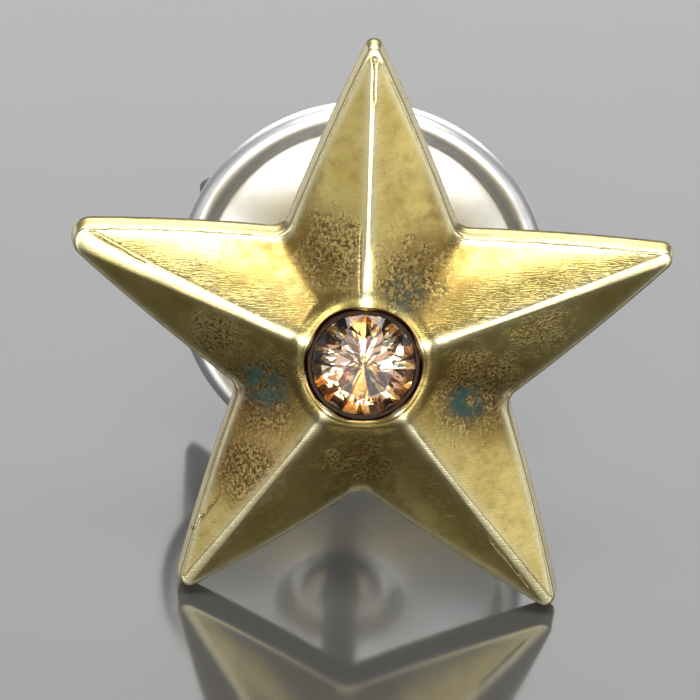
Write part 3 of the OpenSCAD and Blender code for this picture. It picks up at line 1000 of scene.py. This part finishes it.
# The housing's flange lies on the back of the face plate and thins toward the bead
housing_in = HOUSING_R - SHEET_T
housing_foot = 0.3
housing_round = 0.35
ceiling = HOUSING_H - SHEET_T
housing_profile = [
    (housing_in, plate_back), (FLANGE_R, plate_back), (FLANGE_R, plate_back + 0.06),
    (HOUSING_R + housing_foot, plate_back + SHEET_T),
    (HOUSING_R, plate_back + SHEET_T + housing_foot),
    (HOUSING_R, HOUSING_H - housing_round),
    (HOUSING_R - 0.3 * housing_round, HOUSING_H - 0.3 * housing_round),
    (HOUSING_R - housing_round, HOUSING_H), (TOP_HOLE_R, HOUSING_H), (TOP_HOLE_R, ceiling),
    (housing_in, ceiling),
]


def add_slots(obj):
    """Cuts the two side slots with one bar, and rounds their edges."""
    low = Vector((-2 * HOUSING_R, -SLOT_W / 2, SLOT_LOW)) * MM
    high = Vector((2 * HOUSING_R, SLOT_W / 2, SLOT_HIGH)) * MM
    bar_mesh = bpy.data.meshes.new("slot_bar")
    work = bmesh.new()
    bmesh.ops.create_cube(work, size=1)
    for v in work.verts:
        v.co = Vector(low[i] if v.co[i] < 0 else high[i] for i in range(3))
    work.to_mesh(bar_mesh)
    work.free()
    bar = bpy.data.objects.new("slot_bar", bar_mesh)
    bpy.context.scene.collection.objects.link(bar)
    cut = obj.modifiers.new("slots", "BOOLEAN")
    cut.operation = "DIFFERENCE"
    cut.object = bar
    round_edges(obj, 0.03, 40)


housing = with_modifiers(turned("clutch_housing", housing_profile, 0.08), add_slots)
bpy.data.objects.remove(bpy.data.objects["slot_bar"])
add_piece("clutch_housing", housing, CLUTCH)

for node in ("spring_bridge", "wing_left", "wing_right"):
    add_piece(node, softened(node, CLUTCH, 0.05), CLUTCH)

# ---- Floor, light and camera ----------------------------------------------------

FLOOR_HALF = 2.0        # metres
corner_signs = ((-1, -1), (1, -1), (1, 1), (-1, 1))
floor_mesh = bpy.data.meshes.new("studio_floor")
floor_mesh.from_pydata(
    [(FLOOR_HALF * x, FLOOR_HALF * y, 0.0) for x, y in corner_signs], [], [(0, 1, 2, 3)]
)
floor_mesh.materials.append(studio_floor())
floor = bpy.data.objects.new("studio_floor", floor_mesh)
bpy.context.scene.collection.objects.link(floor)


def direction(azimuth, elevation):
    """From the pin toward that azimuth, 0 being straight in front and 90 to its right."""
    a, e = math.radians(azimuth), math.radians(elevation)
    return Vector((math.sin(a) * math.cos(e), -math.cos(a) * math.cos(e), math.sin(e)))


def softbox(name, azimuth, elevation, distance, size, radiance):
    """A rectangular soft light turned to the pin: sizes in metres, radiance in W/m2/sr."""
    light = bpy.data.lights.new(name, "AREA")
    light.shape = "RECTANGLE"
    light.size, light.size_y = size
    light.energy = radiance * math.pi * size[0] * size[1]
    obj = bpy.data.objects.new(name, light)
    bpy.context.scene.collection.objects.link(obj)
    toward_light = direction(azimuth, elevation)
    obj.location = ROOT + toward_light * distance
    obj.rotation_euler = toward_light.to_track_quat("Z", "Y").to_euler()


softbox("key_box", 0, 80, 0.45, (0.34, 0.16), 6.5)
softbox("front_box", 0, 21, 0.70, (0.90, 0.56), 2.9)
softbox("back_box", 180, 34, 0.60, (0.90, 0.50), 2.9)
softbox("left_box", -66, 14, 0.50, (0.30, 0.30), 0.45)
softbox("right_box", 66, 14, 0.50, (0.30, 0.30), 0.75)

world = bpy.data.worlds.new("studio")
world.use_nodes = True
background = world.node_tree.nodes["Background"]
background.inputs["Color"].default_value = (0.27, 0.27, 0.27, 1.0)
background.inputs["Strength"].default_value = 1.0
bpy.context.scene.world = world

# The photograph's view, as angles from the star's own frame: above its normal, to its
# right, and rolled
VIEW_ABOVE = math.radians(14.75)
VIEW_ASIDE = math.radians(-0.66)
VIEW_ROLL = math.radians(1.78)
VIEW_SHIFT = (-0.392, -0.227)       # of the view's centre from the star's, in millimetres
CAMERA_DISTANCE = 200               # millimetres from the star's back
CAMERA_LENS = 343.5                 # millimetres

star_axes = STAR.to_3x3()
toward_camera = star_axes @ Vector((
    math.sin(VIEW_ASIDE) * math.cos(VIEW_ABOVE),
    math.sin(VIEW_ABOVE),
    math.cos(VIEW_ASIDE) * math.cos(VIEW_ABOVE),
))
view_right = star_axes @ Vector((math.cos(VIEW_ASIDE), 0.0, -math.sin(VIEW_ASIDE)))
view_right.rotate(Matrix.Rotation(VIEW_ROLL, 3, toward_camera))
view_up = toward_camera.cross(view_right)
view_place = (
    view_right * VIEW_SHIFT[0] + view_up * VIEW_SHIFT[1] + toward_camera * CAMERA_DISTANCE
)
camera_data = bpy.data.cameras.new("camera")
camera_data.lens = CAMERA_LENS
camera_data.clip_start = 0.01
camera = bpy.data.objects.new("camera", camera_data)
bpy.context.scene.collection.objects.link(camera)
camera.matrix_world = (
    Matrix.Translation(ROOT + view_place * MM)
    @ Matrix((view_right, view_up, toward_camera)).transposed().to_4x4()
)
bpy.context.scene.camera = camera
bpy.context.scene.view_settings.view_transform = "Standard"
